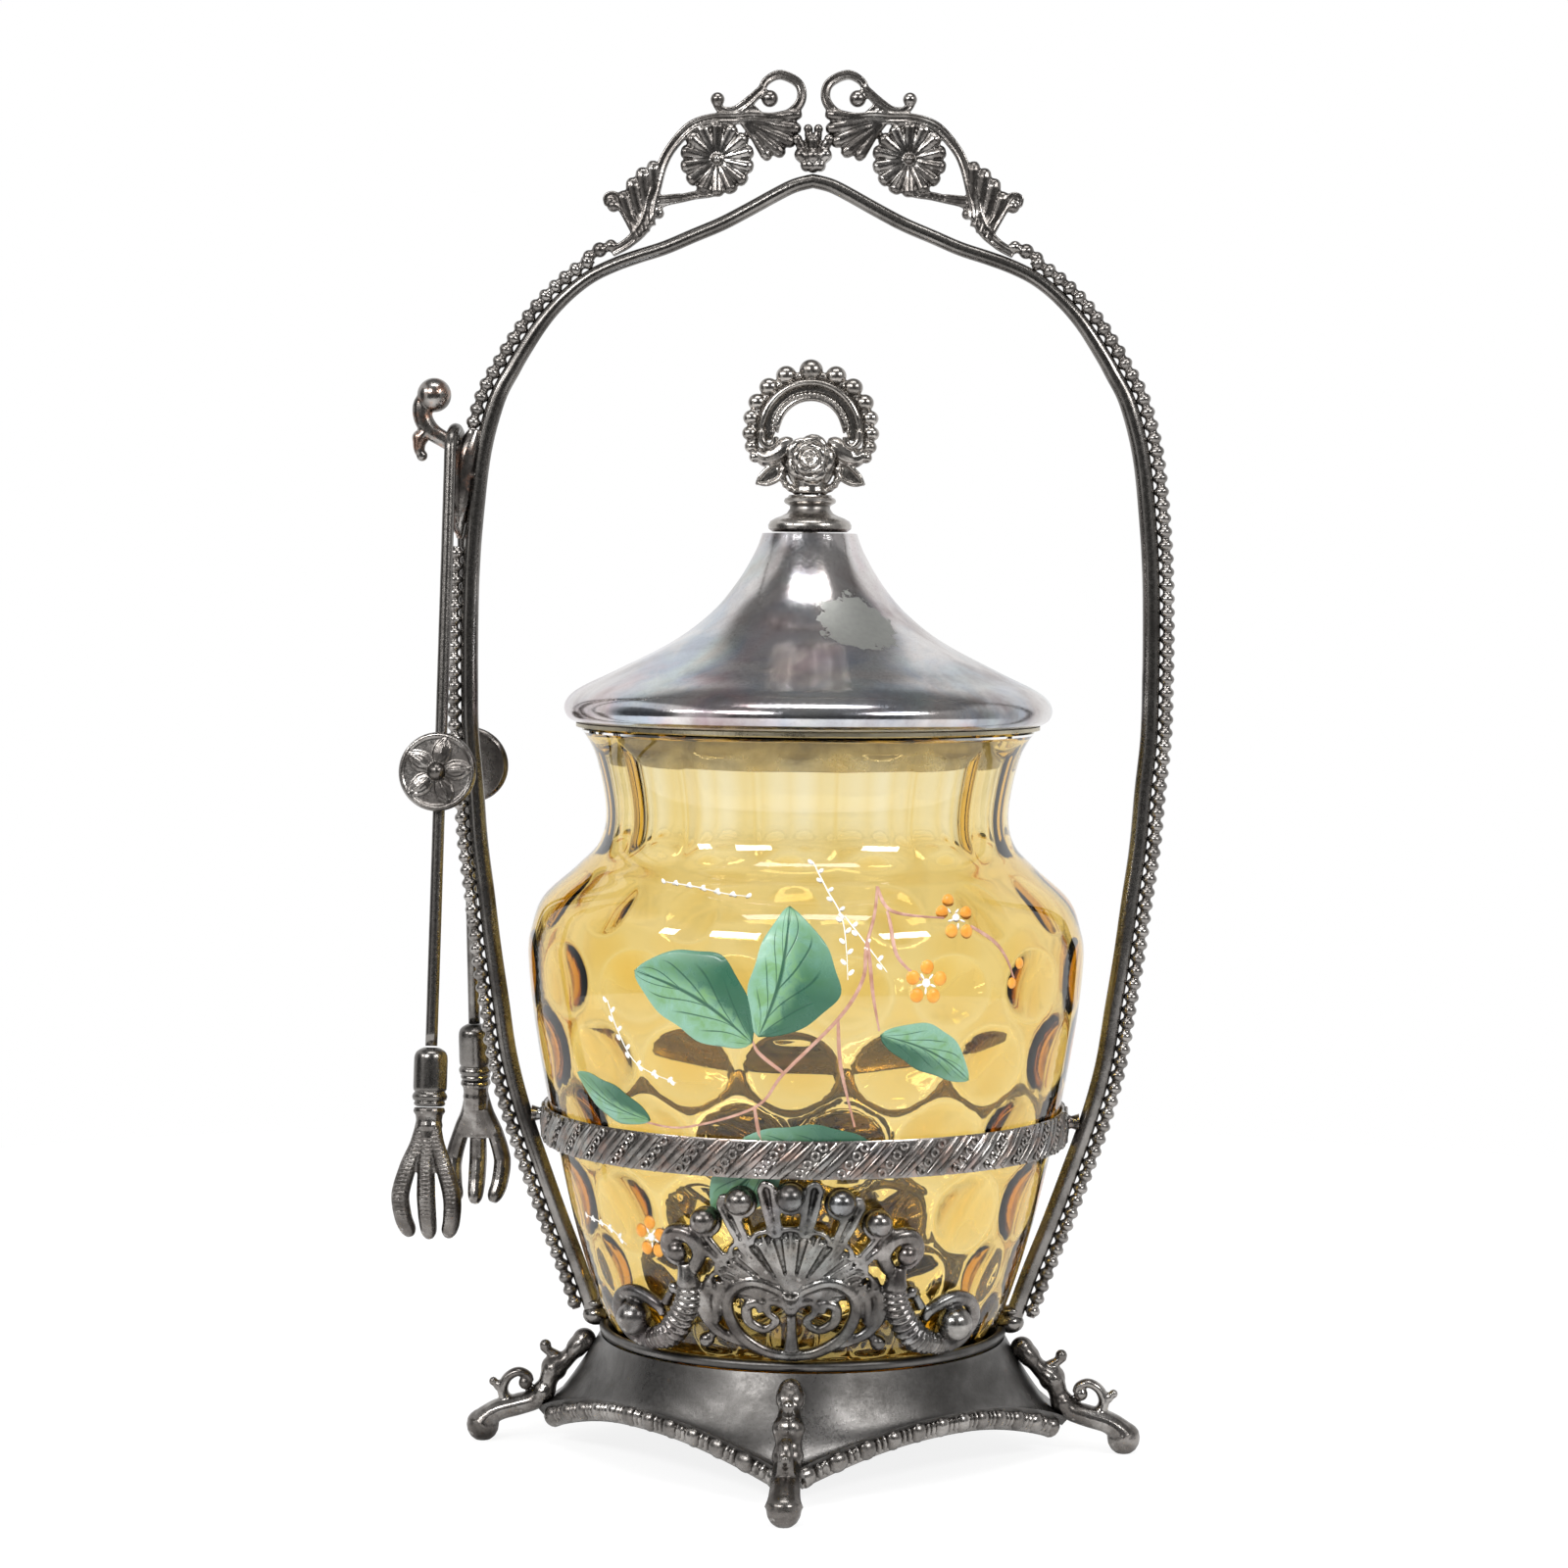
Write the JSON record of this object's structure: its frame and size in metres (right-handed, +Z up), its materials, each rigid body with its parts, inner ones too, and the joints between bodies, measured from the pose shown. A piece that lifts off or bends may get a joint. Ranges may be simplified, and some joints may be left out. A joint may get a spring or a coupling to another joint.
{
  "type": "pickle castor",
  "caption": "Silver-plated pickle castor: footed frame with a fixed arch handle and cast crest, lidded glass jar in a seat and collar, and sprung claw tongs hung on a side hook.",
  "frame": {"origin": "centre of the bounding box's underside, on the surface the feet stand on; the castor's own axis stands at +X 3.56 mm because the tongs hang at -X", "axes": "+Z up, -Y the front with the front medallion and front foot, -X the side with the tongs"},
  "size_m": [0.1523, 0.1356, 0.2744],
  "materials": {
    "tarnished_plate": "tarnished silver plate, satin",
    "dark_casting": "cast, plated and darkened",
    "worn_casting": "cast, plating worn to the copper",
    "bright_plate": "bright silver plate",
    "brass_parts": "plain",
    "amber_glass": "clear amber, enamelled outside"
  },
  "bodies": {
    "frame": {"base_plate": "tarnished_plate", "seat_ring": "tarnished_plate", "border_moulding_back_right": "dark_casting", "border_moulding_back_left": "dark_casting", "border_moulding_front_left": "dark_casting", "border_moulding_front_right": "dark_casting", "foot_right": "dark_casting", "foot_back": "dark_casting", "foot_left": "dark_casting", "foot_front": "dark_casting", "medallion_front": "dark_casting", "medallion_back": "dark_casting", "handle_rod": "tarnished_plate", "beading_left_lower": "dark_casting", "beading_left_upper": "dark_casting", "beading_right": "dark_casting", "crest_left": "dark_casting", "crest_right": "dark_casting", "crest_bud": "dark_casting", "collar_ring": "dark_casting", "collar_lug_left": "dark_casting", "collar_lug_right": "dark_casting", "tongs_hook": "worn_casting"},
    "jar": {"jar": "amber_glass"},
    "lid": {"lid_shell": "bright_plate", "lid_flange": "brass_parts", "finial_base": "bright_plate", "finial_nut": "brass_parts", "finial_loop": "bright_plate"},
    "tongs": {"tongs_bow": "tarnished_plate"},
    "tongs_front_leg": {"tongs_leg_front": "tarnished_plate", "tongs_disc_front": "dark_casting", "tongs_ferrule_front": "tarnished_plate", "tongs_claw_front": "dark_casting"},
    "tongs_back_leg": {"tongs_leg_back": "tarnished_plate", "tongs_disc_back": "dark_casting", "tongs_ferrule_back": "tarnished_plate", "tongs_claw_back": "dark_casting"}
  },
  "joints": [
    {"name": "jar_lift", "type": "slide", "parent": "frame", "child": "jar", "axis": [0, 0, 1], "range_m": [0, 0.011]},
    {"name": "lid_lift", "type": "slide", "parent": "jar", "child": "lid", "axis": [0, 0, 1], "range_m": [0, 0.02]},
    {"name": "tongs_lift", "type": "slide", "parent": "frame", "child": "tongs", "axis": [0, 0, 1], "range_m": [0, 0.18]},
    {"name": "front_leg_squeeze", "type": "hinge", "parent": "tongs", "child": "tongs_front_leg", "pos_m": [-0.06764, -0.00495, 0.19891], "axis": [0.9969, -0.0785, 0], "range_deg": [0, 6], "stiffness_Nm_per_rad": 0.6},
    {"name": "back_leg_squeeze", "type": "hinge", "parent": "tongs", "child": "tongs_back_leg", "pos_m": [-0.06686, 0.00495, 0.19891], "axis": [0.9969, -0.0785, 0], "range_deg": [-6, 0], "stiffness_Nm_per_rad": 0.6}
  ],
  "couplings": [
    {"joint": "back_leg_squeeze", "follows": "front_leg_squeeze", "ratio": -1}
  ]
}
